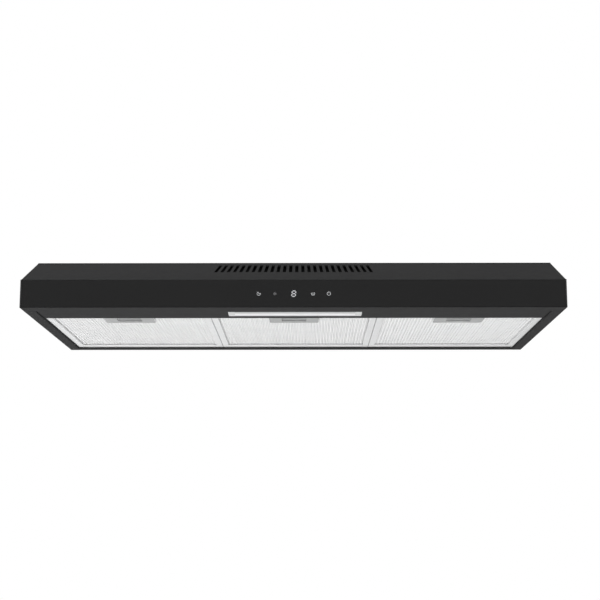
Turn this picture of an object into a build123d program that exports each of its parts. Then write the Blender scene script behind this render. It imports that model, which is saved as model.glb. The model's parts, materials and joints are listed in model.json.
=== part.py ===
from build123d import *

import math
import os

# Under cabinet range hood. X runs to the right of the person at the cooker, Y towards the wall
# behind the hood and Z up. The origin is the centre of the four cabinet screw holes on the top.
# All sizes are in millimetres.

# Outer body
WIDTH = 900.0
DEPTH = 490.0
HEIGHT = 104.5
FASCIA_HEIGHT = 47.5
SLOPE_RUN = 141.0
SHEET = 1.0
BEND_RADIUS = 1.6
FIT = 0.3

# Top panel
SCREW_SPACING_X = 760.0
SCREW_SPACING_Y = 240.0
SCREW_HOLE_R = 3.25
SIDE_FLANGE = 12.0
REAR_LAP = 13.0

# Vent panel and its fanned slots
VENT_LAP = 16.0
VENT_DROP = 8.0
SLOT_COUNT = 26
SLOT_PITCH = 10.4
SLOT_WIDTH = 5.6
SLOT_LENGTH = 62.0
SLOT_TOP_MARGIN = 18.0
SLOT_FAN_ANGLE = 5.1

# Rails along the underside
SIDE_RAIL = 19.0
SIDE_RAIL_RETURN = 12.0
REAR_RAIL = 14.0
REAR_RETURN = 2.0
BEAD_R = 1.5
BEAD_PROUD = 0.3
FRONT_LIP = 36.0
FRONT_LIP_RETURN = 8.0

# Glass fascia in its channel
GLASS = 4.0
GLASS_CHAMFER = 0.4
END_HEM = 3.2
HEM_ROUNDING = 2.4
WINDOW_MARGIN = 12.0

# Lamp panel and lamp
LAMP_PANEL_DEPTH = 114.0
LAMP_RECESS = 1.5
LAMP_PANEL_GAP = 2.0
LAMP_FRONT_FLANGE = 10.0
KEEPER_FLANGE = 16.0
LENS_LENGTH = 225.0
LENS_WIDTH = 41.0
LENS_CROWN = 1.4
LENS_TO_REAR = 22.0
LENS_X = 2.5
LENS_FLANGE = 4.0
LENS_FLANGE_T = 1.5
LENS_CAP = 11.0
LAMP_HOUSING_H = 20.0
LAMP_HOUSING_FOOT = 7.0
LED_BOARD_T = 1.6
LED_BOARD_WIDTH = 14.0
LED_MARGIN = 12.0
LED_COUNT = 8
LED_SIZE = 5.0
LED_H = 1.0

# Grease filters
FILTER_NAMES = ["left", "centre", "right"]
FILTER_GAP = 1.0
FILTER_T = 9.0
FILTER_TAIL = 8.0
FILTER_FRONT_GAP = 1.0
FILTER_WALL = 0.8
FILTER_LIP = 11.0
FILTER_REAR_LIP = 30.0
FILTER_LIP_RETURN = 2.5
FILTER_CORNER_R = 4.0
SEAT_GAP = 0.3
MESH_T = 0.8
MESH_COLUMNS = 4
MESH_ROWS = 8
MESH_STRAND = 5.0
CORE_SHEET = 0.5
CORE_FOLD_PITCH = 34.0

# Filter latches
LATCH_WIDTH = 86.0
LATCH_LENGTH = 51.0
LATCH_SETBACK = 5.0
LATCH_PLATE_T = 1.0
LATCH_CHAMFER = 3.0
POCKET_WIDTH = 42.0
POCKET_LENGTH = 30.0
POCKET_WALL = 1.2
POCKET_SETBACK = 9.0
TONGUE_WIDTH = 30.0
TONGUE_T = 2.0
TONGUE_REACH = 6.0
TONGUE_CLEAR = 0.6
FINGER_SPACE = 13.0
FINGER_BAR = 6.0
BAR_RECESS = 0.6
SPRING_T = 0.5
SPRING_H = 4.0
SPRING_SPAN = 34.0
SPRING_CREST = 10.0

# Duct collar and damper
COLLAR_R = 74.5
COLLAR_WALL = 1.0
COLLAR_H = 32.0
COLLAR_FLANGE = 14.0
COLLAR_FROM_WALL = 110.0
DAMPER_Z = 8.0
DAMPER_ROD_R = 1.5
DAMPER_BORE_CLEAR = 0.08
DAMPER_KNUCKLE_R = 2.6
DAMPER_FLAP_T = 0.8
DAMPER_RIM_GAP = 1.5
DAMPER_STOP = 3.0
DAMPER_STOP_WIDTH = 12.0
DAMPER_STOP_T = 1.5
KNUCKLE_INNER = 20.0
KNUCKLE_OUTER = 50.0

# Blower
IMPELLER_R = 80.0
BLADE_COUNT = 30
BLADE_DEPTH = 16.0
BLADE_T = 1.0
BLADE_LEAN = 6.0
BLADE_FACETS = 2
IMPELLER_PLATE = 1.5
IMPELLER_RIM = 4.0
HUB_R = 11.0
HUB_H = 14.0
SHAFT_R = 4.0
SHAFT_CLEAR = 0.05
NUT_R = 7.5
NUT_H = 6.0
NUT_SPACE = 9.0
TONGUE_GAP = 8.0
VOLUTE_TONGUE_ANGLE = 50.0
DISCHARGE_LEG = 150.0
CHAMBER_MARGIN = 3.5
SCROLL_CLEAR = 2.0
BASE_RIM = 8.0
INLET_LAP = 2.0
INLET_FLARE = 6.0
INLET_AXIAL_GAP = 3.0
INTAKE_GAP = 9.0
SUPPORT_T = 6.0
SUPPORT_FOOT = 12.0
SUPPORT_ARM = 16.0
SUPPORT_PLATE = 76.0
MOTOR_R = 38.0
MOTOR_GAP = 3.0
BEARING_DEPTH = 36.0

# Power box and wiring entry
POWER_BOX_FROM_SIDE = 185.0
POWER_BOX_Y = 0.0
POWER_BOX_LENGTH = 150.0
POWER_BOX_WIDTH = 110.0
POWER_BOX_H = 46.0
POWER_BOX_WALL = 1.6
POWER_BOX_CORNER_R = 2.0
POWER_BOX_FLANGE = 9.0
BOARD_T = 1.6
BOARD_EDGE_GAP = 4.0
POST = 6.0
POST_H = 5.0
CAPACITOR_LENGTH = 47.0
CAPACITOR_WIDTH = 22.0
CAPACITOR_H = 32.0
RELAY_SIZE = 16.0
ENTRY_CUTOUT_LENGTH = 60.0
ENTRY_CUTOUT_WIDTH = 40.0
ENTRY_PLATE_LAP = 8.0
GLAND_BORE_R = 5.0
GLAND_WALL = 3.0
GLAND_FLANGE = 4.0
GLAND_H = 12.0

# Control board behind the glass
HOLDER_LENGTH = 184.0
HOLDER_DEPTH = 12.0
HOLDER_WALL = 1.5
HOLDER_GAP = 1.5
BOARD_SETBACK = 6.0
TOUCH_PAD = 8.0
TOUCH_PAD_X = [-58.0, -30.0, 32.0, 60.0]
DISPLAY_WIDTH = 14.0
DISPLAY_HEIGHT = 18.0
DISPLAY_GAP = 0.5

# Places worked out from the sizes above
HALF_WIDTH = WIDTH / 2
HALF_INSIDE = HALF_WIDTH - SHEET
Y_BACK = (DEPTH - SLOPE_RUN) / 2
Y_TOP_FRONT = Y_BACK - DEPTH + SLOPE_RUN
Y_FRONT = Y_BACK - DEPTH
Z_BOTTOM = -HEIGHT
Z_BROW = Z_BOTTOM + FASCIA_HEIGHT
Z_FASCIA_MID = Z_BOTTOM + FASCIA_HEIGHT / 2
Y_GLASS_BACK = Y_FRONT + GLASS
Y_WALL_BACK = Y_GLASS_BACK + SHEET
SLOPE_ANGLE = math.degrees(math.atan2(-SHEET - Z_BROW, Y_TOP_FRONT - Y_WALL_BACK))

Y_LAMP_FRONT = Y_FRONT + FRONT_LIP
Y_LAMP_REAR = Y_FRONT + LAMP_PANEL_DEPTH
Z_LAMP = Z_BOTTOM + LAMP_RECESS
Z_LAMP_TOP = Z_LAMP + SHEET
Y_LENS = Y_LAMP_REAR - LENS_TO_REAR - LENS_WIDTH / 2

Y_PIVOT = Y_BACK - REAR_RAIL + BEAD_R - BEAD_PROUD
Z_PIVOT = Z_BOTTOM + REAR_RETURN
CLEAR_SPAN = 2 * (HALF_WIDTH - SIDE_RAIL)
FILTER_COUNT = len(FILTER_NAMES)
FILTER_WIDTH = (CLEAR_SPAN - (FILTER_COUNT + 1) * FILTER_GAP) / FILTER_COUNT
FILTER_PITCH = FILTER_WIDTH + FILTER_GAP
Y_FILTER_FRONT = Y_LAMP_REAR + FILTER_FRONT_GAP
Y_FILTER_REAR = Y_PIVOT + FILTER_TAIL
Z_FILTER = Z_PIVOT + BEAD_R + SEAT_GAP
Z_FILTER_TOP = Z_FILTER + FILTER_T
Z_MESH = Z_FILTER + FILTER_LIP_RETURN
Z_CORE = Z_MESH + MESH_T
Z_CORE_TOP = Z_FILTER_TOP - FILTER_WALL

Y_POCKET_FRONT = Y_FILTER_FRONT + POCKET_SETBACK
Y_POCKET_INNER = Y_POCKET_FRONT + POCKET_WALL
Y_POCKET_REAR = Y_POCKET_INNER + POCKET_LENGTH
Y_BAR_FRONT = Y_POCKET_INNER + FINGER_SPACE
Y_BAR_REAR = Y_BAR_FRONT + FINGER_BAR
Z_POCKET_ROOF = Z_CORE_TOP - POCKET_WALL
Z_TONGUE_TOP = Z_POCKET_ROOF - TONGUE_CLEAR
Z_TONGUE = Z_TONGUE_TOP - TONGUE_T

COLLAR_BORE = COLLAR_R - COLLAR_WALL
Y_COLLAR = Y_BACK - COLLAR_FROM_WALL
Z_SCROLL_TOP = -SHEET
Z_SCROLL_ROOF = Z_SCROLL_TOP - SHEET
Z_SUPPORT = Z_FILTER_TOP + INTAKE_GAP
Z_BASE = Z_SUPPORT + SUPPORT_T
Z_BASE_TOP = Z_BASE + SHEET
Z_IMPELLER = Z_BASE_TOP + INLET_FLARE + INLET_AXIAL_GAP
Z_IMPELLER_TOP = Z_SCROLL_ROOF - NUT_SPACE
Z_HUB = Z_IMPELLER_TOP - IMPELLER_PLATE - HUB_H
Z_MOTOR_TOP = Z_HUB - MOTOR_GAP
VOLUTE_R = IMPELLER_R + TONGUE_GAP
TONGUE_ANGLE_RAD = math.radians(VOLUTE_TONGUE_ANGLE)
SCROLL_REACH = Y_COLLAR - Y_TOP_FRONT - VENT_LAP - SCROLL_CLEAR - SHEET
VOLUTE_STEP = (SCROLL_REACH - VOLUTE_R * (3 + math.sin(TONGUE_ANGLE_RAD)) / 2) / 3
VOLUTE_OFFSET = VOLUTE_STEP / 2
VOLUTE_CREST = VOLUTE_OFFSET + VOLUTE_R + 3 * VOLUTE_STEP
TONGUE_X = VOLUTE_OFFSET + VOLUTE_R * math.cos(TONGUE_ANGLE_RAD)
TONGUE_Y = VOLUTE_R * math.sin(TONGUE_ANGLE_RAD) - VOLUTE_OFFSET
LEG_MIDDLE = (VOLUTE_CREST + TONGUE_Y) / 2
BLOWER_AXIS = Pos(-DISCHARGE_LEG, Y_COLLAR - LEG_MIDDLE, 0)
INLET_R = IMPELLER_R - BLADE_DEPTH - INLET_LAP

HOLDER_HALF_HEIGHT = FASCIA_HEIGHT / 2 - VENT_DROP - HOLDER_GAP
Y_BOARD = Y_WALL_BACK + BOARD_SETBACK
POWER_BOX_X = HALF_WIDTH - POWER_BOX_FROM_SIDE
Z_POWER_BOX = -SHEET - POWER_BOX_H
Z_POWER_BOARD = Z_POWER_BOX + POWER_BOX_WALL + POST_H
Z_ENTRY_PLATE = -2 * SHEET


def block(x_limits, y_limits, z_limits):
    """A rectangular block between two limits on each axis."""
    limits = (x_limits, y_limits, z_limits)
    middle = [(low + high) / 2 for low, high in limits]
    size = [high - low for low, high in limits]
    return Pos(*middle) * Box(*size)


def folded(points, side):
    """The section of a folded sheet whose outer face follows the points."""
    path = FilletPolyline(*points, radius=BEND_RADIUS)
    return make_face(offset(path, amount=SHEET, side=side))


def along_x(section, half_length):
    """A section drawn in Y and Z, run equally to the left and right."""
    return extrude(Plane.YZ * section, amount=half_length, both=True)


def along_y(section, y_start, y_end):
    """A section drawn in X and Z, run from one depth to another."""
    plane = Plane((0, y_end, 0), x_dir=(1, 0, 0), z_dir=(0, -1, 0))
    return extrude(plane * section, amount=y_end - y_start)


def upright(face, z_low, z_high):
    """A flat outline raised from one height to another."""
    return extrude(Pos(0, 0, z_low) * face, amount=z_high - z_low)


def cylinder(radius, z_low, z_high):
    """An upright round bar between two heights."""
    return Pos(0, 0, (z_low + z_high) / 2) * Cylinder(radius, z_high - z_low)


def turned(points):
    """A ring turned about Z from points given as radius and height."""
    section = make_face(Polyline(*points, close=True))
    return revolve(Plane.XZ * section, axis=Axis.Z)


def filter_places():
    """Each filter's name with the X of its middle."""
    middle = (FILTER_COUNT - 1) / 2
    return [(name, (i - middle) * FILTER_PITCH) for i, name in enumerate(FILTER_NAMES)]


# Sheet metal body


def top_panel():
    """The top with its side flanges, duct hole, screw holes and wiring cut-out."""
    plate = block((-HALF_INSIDE, HALF_INSIDE), (Y_TOP_FRONT, Y_BACK), (-SHEET, 0))
    flange_section = folded(
        [(-HALF_INSIDE, -SIDE_FLANGE), (-HALF_INSIDE, 0), (HALF_INSIDE, 0), (HALF_INSIDE, -SIDE_FLANGE)],
        Side.RIGHT,
    )
    flanges = along_y(flange_section, Y_TOP_FRONT + VENT_LAP + FIT, Y_BACK - REAR_LAP - FIT)
    panel = plate + flanges
    panel -= Pos(0, Y_COLLAR, 0) * Cylinder(COLLAR_BORE, 4 * SHEET)
    for place in GridLocations(SCREW_SPACING_X, SCREW_SPACING_Y, 2, 2):
        panel -= place * Cylinder(SCREW_HOLE_R, 4 * SHEET)
    cutout = Pos(POWER_BOX_X, POWER_BOX_Y, 0) * Box(ENTRY_CUTOUT_LENGTH, ENTRY_CUTOUT_WIDTH, 4 * SHEET)
    return panel - cutout


def vent_panel():
    """The slope, lapped under the top and behind the front channel, with its fan of slots."""
    section = folded(
        [
            (Y_WALL_BACK, Z_BROW - VENT_DROP),
            (Y_WALL_BACK, Z_BROW),
            (Y_TOP_FRONT, -SHEET),
            (Y_TOP_FRONT + VENT_LAP, -SHEET),
        ],
        Side.RIGHT,
    )
    panel = along_x(section, HALF_INSIDE)
    rad = math.radians(SLOPE_ANGLE)
    to_middle = SLOT_TOP_MARGIN + SLOT_LENGTH / 2
    slope = Plane(
        (0, Y_TOP_FRONT - to_middle * math.cos(rad), -SHEET - to_middle * math.sin(rad)),
        x_dir=(1, 0, 0),
        z_dir=(0, -math.sin(rad), math.cos(rad)),
    )
    slot = Rectangle(SLOT_WIDTH, SLOT_LENGTH)
    slots = []
    for i in range(SLOT_COUNT):
        step = i - (SLOT_COUNT - 1) / 2
        lean = SLOT_FAN_ANGLE * step / ((SLOT_COUNT - 1) / 2)
        outline = Pos(step * SLOT_PITCH, 0) * Rot(0, 0, lean) * slot
        slots.append(extrude(slope * outline, amount=2 * SHEET, both=True))
    return panel - slots


def rear_panel():
    """The back wall with its top lap, its bottom rail and the bead that the filters hang on."""
    y_rail = Y_BACK - REAR_RAIL
    section = folded(
        [
            (Y_BACK - REAR_LAP, -SHEET),
            (Y_BACK, -SHEET),
            (Y_BACK, Z_BOTTOM),
            (y_rail, Z_BOTTOM),
            (y_rail, Z_PIVOT + BEAD_R / 2),
        ],
        Side.RIGHT,
    )
    section += Pos(Y_PIVOT, Z_PIVOT) * Circle(BEAD_R)
    panel = along_x(section, HALF_INSIDE)
    x_rail = HALF_WIDTH - SIDE_RAIL
    rail_heights = (Z_BOTTOM - SHEET, Z_BOTTOM + SIDE_RAIL_RETURN)
    for side in (-1, 1):
        ends = sorted((side * x_rail, side * HALF_WIDTH))
        panel -= block(ends, (y_rail - BEAD_R, Y_BACK - SHEET), rail_heights)
    return panel


def side_panel(side):
    """A side wall with its bottom rail and the hem beside the glass."""
    profile = make_face(
        Polyline(
            (Y_FRONT, Z_BOTTOM + SIDE_RAIL_RETURN),
            (Y_FRONT, Z_BROW),
            (Y_WALL_BACK, Z_BROW),
            (Y_TOP_FRONT, -SHEET),
            (Y_TOP_FRONT, 0),
            (Y_BACK, 0),
            (Y_BACK, Z_BOTTOM + SIDE_RAIL_RETURN),
            close=True,
        )
    )
    wall = extrude(Plane.YZ.offset(-HALF_WIDTH) * profile, amount=SHEET)
    x_rail = SIDE_RAIL - HALF_WIDTH
    rail_section = folded(
        [
            (-HALF_WIDTH, Z_BOTTOM + SIDE_RAIL_RETURN),
            (-HALF_WIDTH, Z_BOTTOM),
            (x_rail, Z_BOTTOM),
            (x_rail, Z_BOTTOM + SIDE_RAIL_RETURN),
        ],
        Side.LEFT,
    )
    rail = along_y(rail_section, Y_FRONT, Y_BACK)
    rail_ends = (-HALF_INSIDE, x_rail)
    rail_heights = (Z_BOTTOM, Z_BOTTOM + SIDE_RAIL_RETURN)
    rail -= block(rail_ends, (Y_FRONT, Y_LAMP_FRONT), rail_heights)
    rail -= block(rail_ends, (Y_BACK - SHEET, Y_BACK), rail_heights)
    hem = block(
        (-HALF_WIDTH, END_HEM - HALF_WIDTH),
        (Y_FRONT, Y_GLASS_BACK),
        (Z_BOTTOM + SHEET, Z_BROW - BEND_RADIUS),
    )
    panel = wall + rail + hem
    corner = panel.edges().filter_by(Axis.Z).group_by(Axis.Y)[0].group_by(Axis.X)[0]
    panel = fillet(corner, HEM_ROUNDING)
    if side > 0:
        panel = mirror(panel, about=Plane.YZ)
    return panel


def front_frame():
    """The channel round the glass, with the lip under it and the window for the touch board."""
    channel = folded([(Y_FRONT, Z_BROW), (Y_WALL_BACK, Z_BROW), (Y_WALL_BACK, Z_BOTTOM)], Side.RIGHT)
    lip = folded(
        [(Y_FRONT, Z_BOTTOM), (Y_LAMP_FRONT, Z_BOTTOM), (Y_LAMP_FRONT, Z_BOTTOM + FRONT_LIP_RETURN)],
        Side.LEFT,
    )
    frame = along_x(channel + lip, HALF_INSIDE)
    window_half = HOLDER_LENGTH / 2 - WINDOW_MARGIN
    window_height = HOLDER_HALF_HEIGHT - HOLDER_WALL - FIT
    window = block(
        (-window_half, window_half),
        (Y_GLASS_BACK - SHEET, Y_WALL_BACK + SHEET),
        (Z_FASCIA_MID - window_height, Z_FASCIA_MID + window_height),
    )
    return frame - window


def fascia_glass():
    """The strip of dark glass between the two hems."""
    half = HALF_WIDTH - END_HEM - FIT
    heights = (Z_BOTTOM + SHEET + FIT, Z_BROW - BEND_RADIUS - FIT)
    glass = block((-half, half), (Y_FRONT, Y_GLASS_BACK), heights)
    return chamfer(glass.faces().sort_by(Axis.Y)[0].edges(), GLASS_CHAMFER)


# Lamp


def lens_section(grow):
    """The crowned lens with its flange, or the shape of its opening when grown."""
    half = LENS_WIDTH / 2 + grow
    flange = LENS_WIDTH / 2 + LENS_FLANGE
    crown = ThreePointArc((-half, Z_LAMP), (0, Z_LAMP - LENS_CROWN), (half, Z_LAMP))
    rest = Polyline(
        (half, Z_LAMP),
        (half, Z_LAMP_TOP),
        (flange, Z_LAMP_TOP),
        (flange, Z_LAMP_TOP + LENS_FLANGE_T),
        (-flange, Z_LAMP_TOP + LENS_FLANGE_T),
        (-flange, Z_LAMP_TOP),
        (-half, Z_LAMP_TOP),
        (-half, Z_LAMP),
    )
    return Pos(Y_LENS, 0) * make_face(crown + rest)


def lamp_panel():
    """The recessed strip with the lens opening and the slots that keep the filter latches."""
    section = folded(
        [
            (Y_LAMP_FRONT, Z_BOTTOM + LAMP_FRONT_FLANGE),
            (Y_LAMP_FRONT, Z_LAMP),
            (Y_LAMP_REAR, Z_LAMP),
            (Y_LAMP_REAR, Z_BOTTOM + KEEPER_FLANGE),
        ],
        Side.LEFT,
    )
    panel = along_x(section, HALF_WIDTH - SIDE_RAIL - LAMP_PANEL_GAP)
    panel -= Pos(LENS_X, Y_LENS, Z_LAMP) * Box(LENS_LENGTH + 2 * FIT, LENS_WIDTH + 2 * FIT, 4 * SHEET)
    slot_half = TONGUE_WIDTH / 2 + TONGUE_CLEAR
    for _, x in filter_places():
        panel -= block(
            (x - slot_half, x + slot_half),
            (Y_LAMP_REAR - 2 * SHEET, Y_LAMP_REAR + SHEET),
            (Z_TONGUE - TONGUE_CLEAR, Z_TONGUE_TOP + TONGUE_CLEAR),
        )
    return panel


def light_diffuser():
    """The frosted middle of the lens."""
    return Pos(LENS_X, 0, 0) * along_x(lens_section(0), LENS_LENGTH / 2 - LENS_CAP)


def diffuser_end_caps():
    """The two plain ends of the lens."""
    cap = along_x(lens_section(0), LENS_CAP / 2)
    x_cap = (LENS_LENGTH - LENS_CAP) / 2
    return [Pos(LENS_X + side * x_cap, 0, 0) * cap for side in (-1, 1)]


def lamp_housing():
    """The pressed tray over the lens, with feet along its long sides."""
    inside_length = LENS_LENGTH + 2 * FIT
    inside_width = LENS_WIDTH + 2 * (LENS_FLANGE + FIT)
    outside = (inside_length + 2 * SHEET, inside_width + 2 * SHEET)
    shell = upright(RectangleRounded(*outside, SHEET), 0, LAMP_HOUSING_H)
    cavity = upright(Rectangle(inside_length, inside_width), 0, LAMP_HOUSING_H - SHEET)
    feet = upright(Rectangle(inside_length, outside[1] + 2 * LAMP_HOUSING_FOOT), 0, SHEET)
    return Pos(LENS_X, Y_LENS, Z_LAMP_TOP) * (shell + feet - cavity)


def led_board():
    """The board on the roof of the lamp tray with its row of emitters."""
    z_roof = Z_LAMP_TOP + LAMP_HOUSING_H - SHEET
    length = LENS_LENGTH - 2 * LED_MARGIN
    board = Pos(0, 0, z_roof - LED_BOARD_T / 2) * Box(length, LED_BOARD_WIDTH, LED_BOARD_T)
    pitch = length / LED_COUNT
    for place in GridLocations(pitch, 0, LED_COUNT, 1):
        board += Pos(0, 0, z_roof - LED_BOARD_T - LED_H / 2) * place * Box(LED_SIZE, LED_SIZE, LED_H)
    return Pos(LENS_X, Y_LENS, 0) * board


# Grease filters, each drawn about X = 0 and then moved to its place


def filter_box(inset, z_low, z_high):
    """A block over the filter's plan, drawn in by an inset on all sides."""
    half = FILTER_WIDTH / 2 - inset
    return block((-half, half), (Y_FILTER_FRONT + inset, Y_FILTER_REAR - inset), (z_low, z_high))


def filter_window(grow, z_low, z_high):
    """The opening between the lips, or a block round it when grown."""
    half = FILTER_WIDTH / 2 - FILTER_LIP + grow
    depths = (Y_FILTER_FRONT + FILTER_LIP - grow, Y_FILTER_REAR - FILTER_REAR_LIP + grow)
    return block((-half, half), depths, (z_low, z_high))


def latch_well():
    """The space that the latch pocket and its tongue take from a filter."""
    half = POCKET_WIDTH / 2 + POCKET_WALL + FIT
    pocket = block(
        (-half, half),
        (Y_POCKET_FRONT - FIT, Y_POCKET_REAR + POCKET_WALL + FIT),
        (Z_FILTER - FILTER_WALL, Z_CORE_TOP),
    )
    slot_half = TONGUE_WIDTH / 2 + TONGUE_CLEAR
    slot = block(
        (-slot_half, slot_half),
        (Y_FILTER_FRONT - FILTER_WALL, Y_POCKET_FRONT),
        (Z_TONGUE - TONGUE_CLEAR, Z_TONGUE_TOP + TONGUE_CLEAR),
    )
    return pocket + slot


def filter_frame():
    """The channel round the filter, whose lower lips turn up to carry the mesh."""
    frame = filter_box(0, Z_FILTER, Z_FILTER_TOP)
    frame = fillet(frame.edges().filter_by(Axis.Z), FILTER_CORNER_R)
    z_floor = Z_FILTER + FILTER_WALL
    frame -= filter_box(FILTER_WALL, z_floor, Z_CORE_TOP)
    frame += filter_window(FILTER_WALL, z_floor, Z_MESH)
    frame -= filter_window(0, Z_FILTER - FILTER_WALL, Z_FILTER_TOP + FILTER_WALL)
    return frame - latch_well()


def filter_mesh():
    """The expanded metal face: a lattice of diamonds in staggered rows."""
    inset = FILTER_WALL + FIT
    sheet = filter_box(inset, Z_MESH, Z_CORE)
    clear_x = FILTER_WIDTH - 2 * FILTER_LIP
    clear_y = Y_FILTER_REAR - Y_FILTER_FRONT - FILTER_LIP - FILTER_REAR_LIP
    cell_x = clear_x / MESH_COLUMNS
    cell_y = clear_y / MESH_ROWS
    half_x = (cell_x - MESH_STRAND) / 2
    half_y = (cell_y - MESH_STRAND) / 2
    diamond = make_face(Polyline((-half_x, 0), (0, -half_y), (half_x, 0), (0, half_y), close=True))
    places = list(GridLocations(cell_x, cell_y, MESH_COLUMNS, MESH_ROWS))
    places += list(GridLocations(cell_x, cell_y, MESH_COLUMNS - 1, MESH_ROWS - 1))
    y_latch = Y_POCKET_REAR + POCKET_WALL + MESH_STRAND
    x_latch = POCKET_WIDTH / 2 + POCKET_WALL + MESH_STRAND
    y_middle = (Y_FILTER_FRONT + FILTER_LIP + Y_FILTER_REAR - FILTER_REAR_LIP) / 2
    holes = []
    for place in places:
        hole_x, hole_y = place.position.X, place.position.Y + y_middle
        if abs(hole_x) - half_x < x_latch and hole_y - half_y < y_latch:
            continue
        holes.append(upright(Pos(hole_x, hole_y) * diamond, Z_MESH - MESH_T, Z_CORE + MESH_T))
    return sheet - holes - latch_well()


def filter_core():
    """The crimped layer that fills the frame, a zigzag of thin sheet."""
    inset = FILTER_WALL + FIT
    y_start = Y_FILTER_FRONT + inset
    length = Y_FILTER_REAR - inset - y_start
    folds = 2 * round(length / CORE_FOLD_PITCH)
    low = [Z_CORE if i % 2 else Z_CORE_TOP - CORE_SHEET for i in range(folds + 1)]
    line = [(y_start + i * length / folds, z) for i, z in enumerate(low)]
    top_line = [(y, z + CORE_SHEET) for y, z in reversed(line)]
    section = make_face(Polyline(*line, *top_line, close=True))
    return along_x(section, FILTER_WIDTH / 2 - inset) - latch_well()


def latch_housing():
    """The plate with the finger pocket, seated under the filter's frame."""
    y_plate = Y_FILTER_FRONT + LATCH_SETBACK + LATCH_LENGTH / 2
    plate = Rectangle(LATCH_WIDTH, LATCH_LENGTH)
    plate = Pos(0, y_plate) * chamfer(plate.vertices(), LATCH_CHAMFER)
    housing = upright(plate, Z_FILTER - LATCH_PLATE_T, Z_FILTER)
    half = POCKET_WIDTH / 2
    housing += block(
        (-half - POCKET_WALL, half + POCKET_WALL),
        (Y_POCKET_FRONT, Y_POCKET_REAR + POCKET_WALL),
        (Z_FILTER - LATCH_PLATE_T / 2, Z_CORE_TOP),
    )
    housing -= block(
        (-half, half),
        (Y_POCKET_INNER, Y_POCKET_REAR),
        (Z_FILTER - 2 * LATCH_PLATE_T, Z_POCKET_ROOF),
    )
    slot_half = TONGUE_WIDTH / 2 + TONGUE_CLEAR
    return housing - block(
        (-slot_half, slot_half),
        (Y_POCKET_FRONT - POCKET_WALL, Y_POCKET_INNER + POCKET_WALL),
        (Z_TONGUE - TONGUE_CLEAR, Z_TONGUE_TOP + TONGUE_CLEAR),
    )


def latch_slider():
    """The tongue and the finger bar that draws it back."""
    tongue = block(
        (-TONGUE_WIDTH / 2, TONGUE_WIDTH / 2),
        (Y_FILTER_FRONT - TONGUE_REACH, Y_BAR_REAR),
        (Z_TONGUE, Z_TONGUE_TOP),
    )
    bar_half = POCKET_WIDTH / 2 - TONGUE_CLEAR
    bar = block(
        (-bar_half, bar_half),
        (Y_BAR_FRONT, Y_BAR_REAR),
        (Z_FILTER - LATCH_PLATE_T + BAR_RECESS, Z_TONGUE_TOP),
    )
    return tongue + bar


def latch_spring():
    """The bent leaf between the finger bar and the rear wall of the pocket."""
    foot = SPRING_SPAN / 2
    crest = SPRING_CREST / 2
    front = [(-foot, Y_POCKET_REAR), (-crest, Y_BAR_REAR), (crest, Y_BAR_REAR), (foot, Y_POCKET_REAR)]
    y_inner = Y_BAR_REAR + SPRING_T
    inner_foot = foot - 2 * SPRING_T
    back = [(inner_foot, Y_POCKET_REAR), (crest, y_inner), (-crest, y_inner), (-inner_foot, Y_POCKET_REAR)]
    z_spring = (Z_FILTER + Z_POCKET_ROOF - SPRING_H) / 2
    return upright(make_face(Polyline(*front, *back, close=True)), z_spring, z_spring + SPRING_H)


# Duct collar and damper


def duct_collar():
    """The spigot on its square flange, with four stops that the closed flaps rest on."""
    side = 2 * (COLLAR_R + COLLAR_FLANGE)
    collar = upright(Rectangle(side, side), 0, SHEET) + cylinder(COLLAR_R, 0, COLLAR_H)
    collar -= cylinder(COLLAR_BORE, -SHEET, COLLAR_H + SHEET)
    stop_top = DAMPER_Z - DAMPER_FLAP_T / 2 - FIT
    reach = DAMPER_STOP + COLLAR_WALL / 2
    stop = block(
        (COLLAR_BORE - DAMPER_STOP, COLLAR_BORE - DAMPER_STOP + reach),
        (-DAMPER_STOP_WIDTH / 2, DAMPER_STOP_WIDTH / 2),
        (stop_top - DAMPER_STOP_T, stop_top),
    )
    for i in range(4):
        collar += Rot(0, 0, 45 + 90 * i) * stop
    return Pos(0, Y_COLLAR, 0) * collar


def damper_rod():
    """The rod across the collar."""
    half = math.sqrt(COLLAR_BORE**2 - DAMPER_ROD_R**2)
    return Pos(0, Y_COLLAR, DAMPER_Z) * Rot(90, 0, 0) * Cylinder(DAMPER_ROD_R, 2 * half)


def damper_flap(side):
    """A half disc with its knuckles: outer ones on the left flap, the middle one on the right."""
    plate_edge = DAMPER_KNUCKLE_R + FIT
    disc = Circle(COLLAR_BORE - DAMPER_RIM_GAP)
    keep = Pos(side * (COLLAR_R + plate_edge) / 2, 0) * Rectangle(COLLAR_R - plate_edge, 2 * COLLAR_R)
    outline = disc & keep
    if side < 0:
        spans = [(-KNUCKLE_OUTER, -KNUCKLE_INNER), (KNUCKLE_INNER, KNUCKLE_OUTER)]
    else:
        spans = [(FIT - KNUCKLE_INNER, KNUCKLE_INNER - FIT)]
    knuckle = RegularPolygon(DAMPER_KNUCKLE_R, 8)
    knuckles = []
    for low, high in spans:
        middle = (low + high) / 2
        web = plate_edge + DAMPER_FLAP_T
        outline += Pos(side * web / 2, middle) * Rectangle(web, high - low)
        knuckles.append(extrude(Plane.XZ.offset(-high) * knuckle, amount=high - low))
    flap = upright(outline, -DAMPER_FLAP_T / 2, DAMPER_FLAP_T / 2) + knuckles
    flap -= Rot(90, 0, 0) * Cylinder(DAMPER_ROD_R + DAMPER_BORE_CLEAR, 2 * COLLAR_R)
    return Pos(0, Y_COLLAR, DAMPER_Z) * flap


# Blower, drawn about the impeller's axis and then moved to its place


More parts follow.
